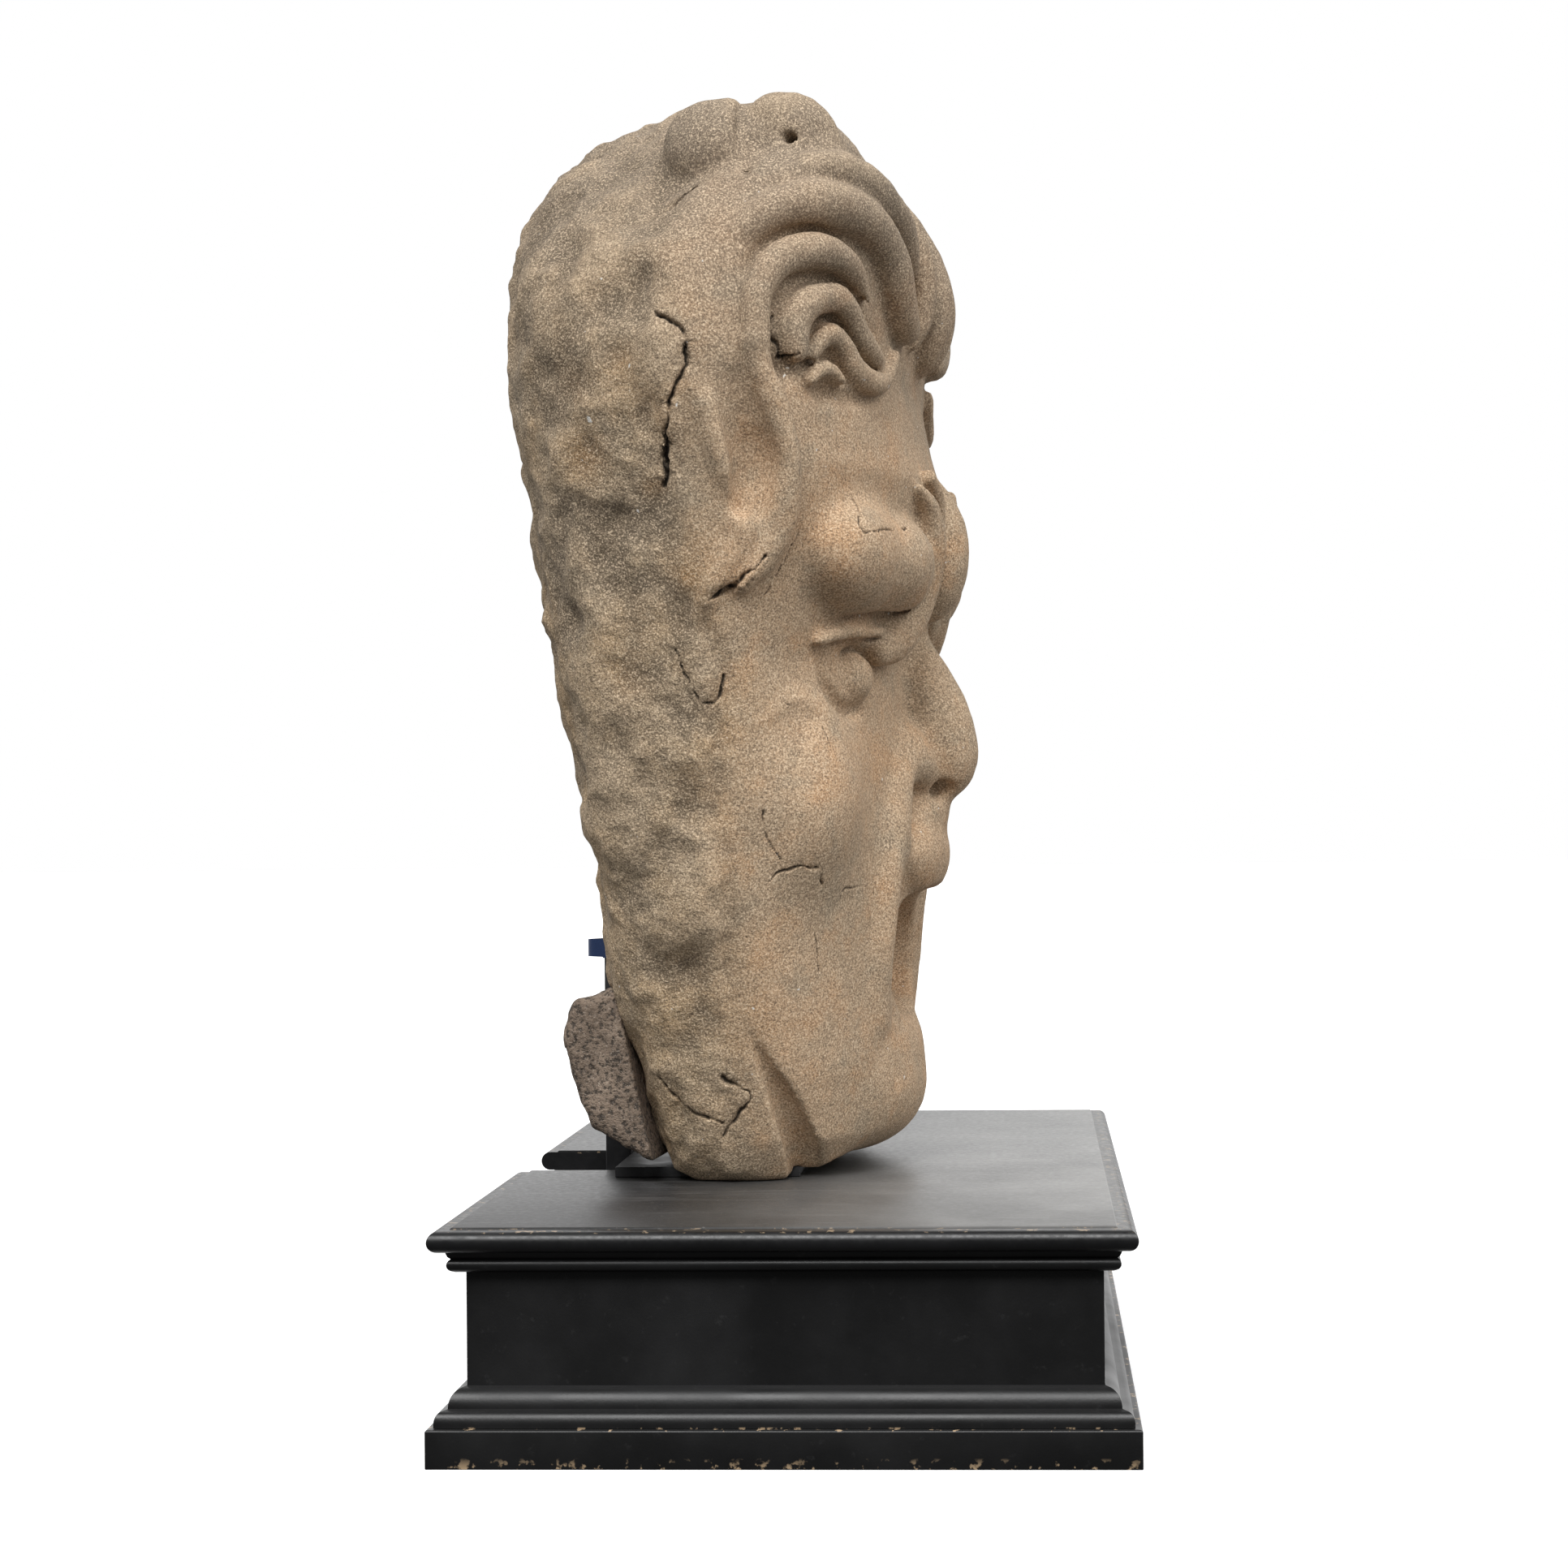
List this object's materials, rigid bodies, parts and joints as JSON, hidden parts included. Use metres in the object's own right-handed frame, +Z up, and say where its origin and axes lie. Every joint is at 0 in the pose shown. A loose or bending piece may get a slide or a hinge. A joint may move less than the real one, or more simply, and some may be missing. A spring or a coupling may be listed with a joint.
{
  "type": "fountain mask",
  "caption": "Carved sandstone fountain mask with curled hair, bulging brows and an open spout mouth, on a moulded black wooden plinth with a steel stand.",
  "frame": {"origin": "on the floor under the middle of the plinth", "axes": "+X to the front, where the mask looks, +Z up; the mask itself is turned 4.5 degrees towards -Y"},
  "size_m": [0.6, 1.01, 1.249],
  "materials": {
    "sandstone": "weathered fine-grained sandstone, warm tan face and darker grey-brown block",
    "repair_stone": "speckled pinkish grey stone, pitted",
    "plinth_top_paint": "black satin paint, dusty and scuffed",
    "plinth_paint": "black satin paint with chipped edges",
    "black_steel": "black painted flat steel",
    "tape": "dark blue woven tape"
  },
  "bodies": {
    "root": {"mask": "sandstone", "repair_block": "repair_stone", "plinth_top": "plinth_top_paint", "base_board_right": "plinth_paint", "base_board_front": "plinth_paint", "base_board_left": "plinth_paint", "base_board_back": "plinth_paint", "base_moulding_right": "plinth_paint", "base_moulding_front": "plinth_paint", "base_moulding_left": "plinth_paint", "base_moulding_back": "plinth_paint", "die_panel_right": "plinth_paint", "die_panel_front": "plinth_paint", "die_panel_left": "plinth_paint", "die_panel_back": "plinth_paint", "cornice_right": "plinth_paint", "cornice_front": "plinth_paint", "cornice_left": "plinth_paint", "cornice_back": "plinth_paint", "steel_post": "black_steel", "foot_plate": "black_steel", "blue_tape": "tape"}
  },
  "joints": []
}
